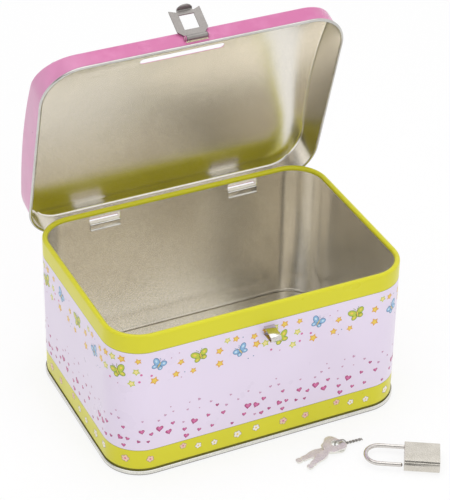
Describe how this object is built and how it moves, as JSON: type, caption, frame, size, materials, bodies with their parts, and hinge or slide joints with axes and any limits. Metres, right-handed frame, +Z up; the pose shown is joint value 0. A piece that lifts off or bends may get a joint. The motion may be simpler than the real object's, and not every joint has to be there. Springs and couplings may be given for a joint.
{
  "type": "metal money box",
  "caption": "Printed tinplate money box with a hinged barrel-top lid, a coin slot, a hasp and staple, a small open padlock and flat keys on a wire tie.",
  "frame": {"origin": "middle of the rectangle that the standing ring of the body makes, on the table plane", "axes": "+Z up, +X along the long side to the right seen from the front, the front with the hasp faces -Y"},
  "size_m": [0.1554, 0.1733, 0.1861],
  "materials": {
    "printed_body": "litho-printed tinplate with a gloss varnish",
    "printed_lid": "litho-printed tinplate with a gloss varnish",
    "tinplate": "bare bright tinplate",
    "steel": "dull tinned steel",
    "nickel": "thin nickel plate, tumbled",
    "wire": "soft iron wire"
  },
  "bodies": {
    "tin": {"body_wall": "printed_body", "base_plate": "tinplate", "hinge_strap_left": "tinplate", "hinge_strap_right": "tinplate", "staple": "steel"},
    "lid": {"lid_shell": "printed_lid", "hasp_pin": "steel"},
    "hasp_plate": {"hasp": "steel"},
    "padlock": {"padlock_case": "nickel", "padlock_end_plate": "nickel", "heel_pin": "steel", "latch_spring": "steel", "shackle_spring": "steel"},
    "plug": {"lock_plug": "nickel"},
    "shackle_bow": {"shackle": "nickel"},
    "key_ring": {"key_tie": "wire"},
    "upper_key": {"key_upper": "nickel"},
    "lower_key": {"key_lower": "nickel"}
  },
  "joints": [
    {"name": "lid_hinge", "type": "hinge", "parent": "tin", "child": "lid", "pos_m": [0, 0.0546, 0.0693], "axis": [-1, 0, 0], "range_deg": [-74, 30]},
    {"name": "hasp_hinge", "type": "hinge", "parent": "lid", "child": "hasp_plate", "pos_m": [0, 0.02873, 0.17585], "axis": [1, 0, 0], "range_deg": [0, 160]},
    {"name": "padlock_lift", "type": "slide", "parent": "tin", "child": "padlock", "axis": [0, 0, 1], "range_m": [0, 0.1]},
    {"name": "plug_turn", "type": "hinge", "parent": "padlock", "child": "plug", "pos_m": [0.0598, -0.0974, 0.0032], "axis": [0.8669, -0.4985, 0], "range_deg": [0, 90], "deforming": ["latch_spring"]},
    {"name": "shackle_slide", "type": "slide", "parent": "padlock", "child": "shackle_bow", "axis": [0.8669, -0.4985, 0], "range_m": [0, 0.0052], "stiffness_N_per_m": 150, "springref_m": -0.004, "deforming": ["shackle_spring", "latch_spring"]},
    {"name": "key_set_lift", "type": "slide", "parent": "tin", "child": "key_ring", "axis": [0, 0, 1], "range_m": [0, 0.04]},
    {"name": "key_upper_swing", "type": "hinge", "parent": "key_ring", "child": "upper_key", "pos_m": [0.0278, -0.071, 0.0017], "axis": [-0.0346, -0.0042, 0.9994], "range_deg": [-18, 8]},
    {"name": "key_lower_swing", "type": "hinge", "parent": "key_ring", "child": "lower_key", "pos_m": [0.0278, -0.071, 0.0008], "axis": [-0.0346, -0.0042, 0.9994], "range_deg": [-8, 18]}
  ]
}
